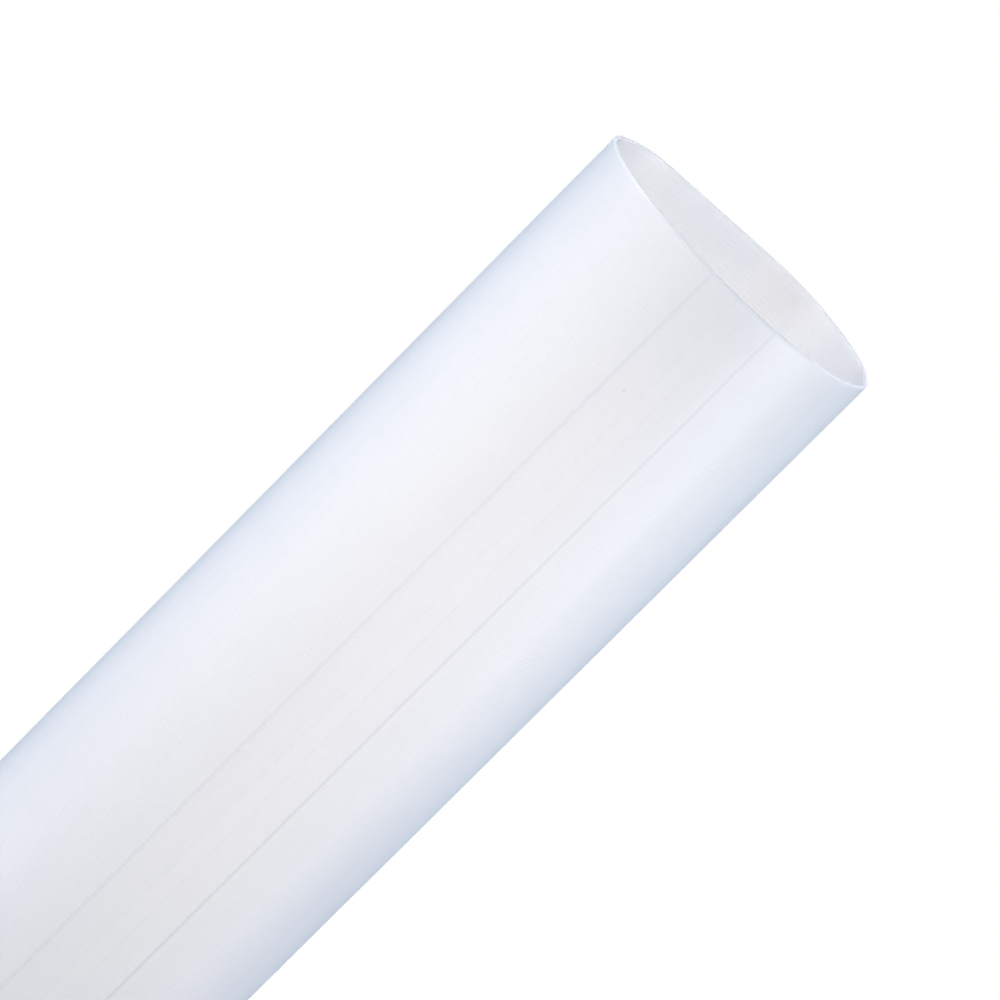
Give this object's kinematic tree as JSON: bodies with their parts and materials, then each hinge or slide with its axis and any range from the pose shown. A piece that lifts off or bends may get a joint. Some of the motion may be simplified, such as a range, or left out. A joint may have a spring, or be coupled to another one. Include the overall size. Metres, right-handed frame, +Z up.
{
  "type": "heat shrink tube",
  "caption": "Straight stick of clear, milky heat shrink tube with a thin wall and square cut ends, lying on the slight flat it has settled on.",
  "frame": {"origin": "middle of the rest flat, halfway along the tube", "axes": "+X along the tube, to the cut mouth that the picture shows; +Z up, from the rest flat to the crown"},
  "size_m": [1.22, 0.0528, 0.0482],
  "materials": {
    "clear_polyolefin": "satin, milky and slightly see-through"
  },
  "bodies": {
    "root": {"heat_shrink_tube": "clear_polyolefin"}
  },
  "joints": []
}
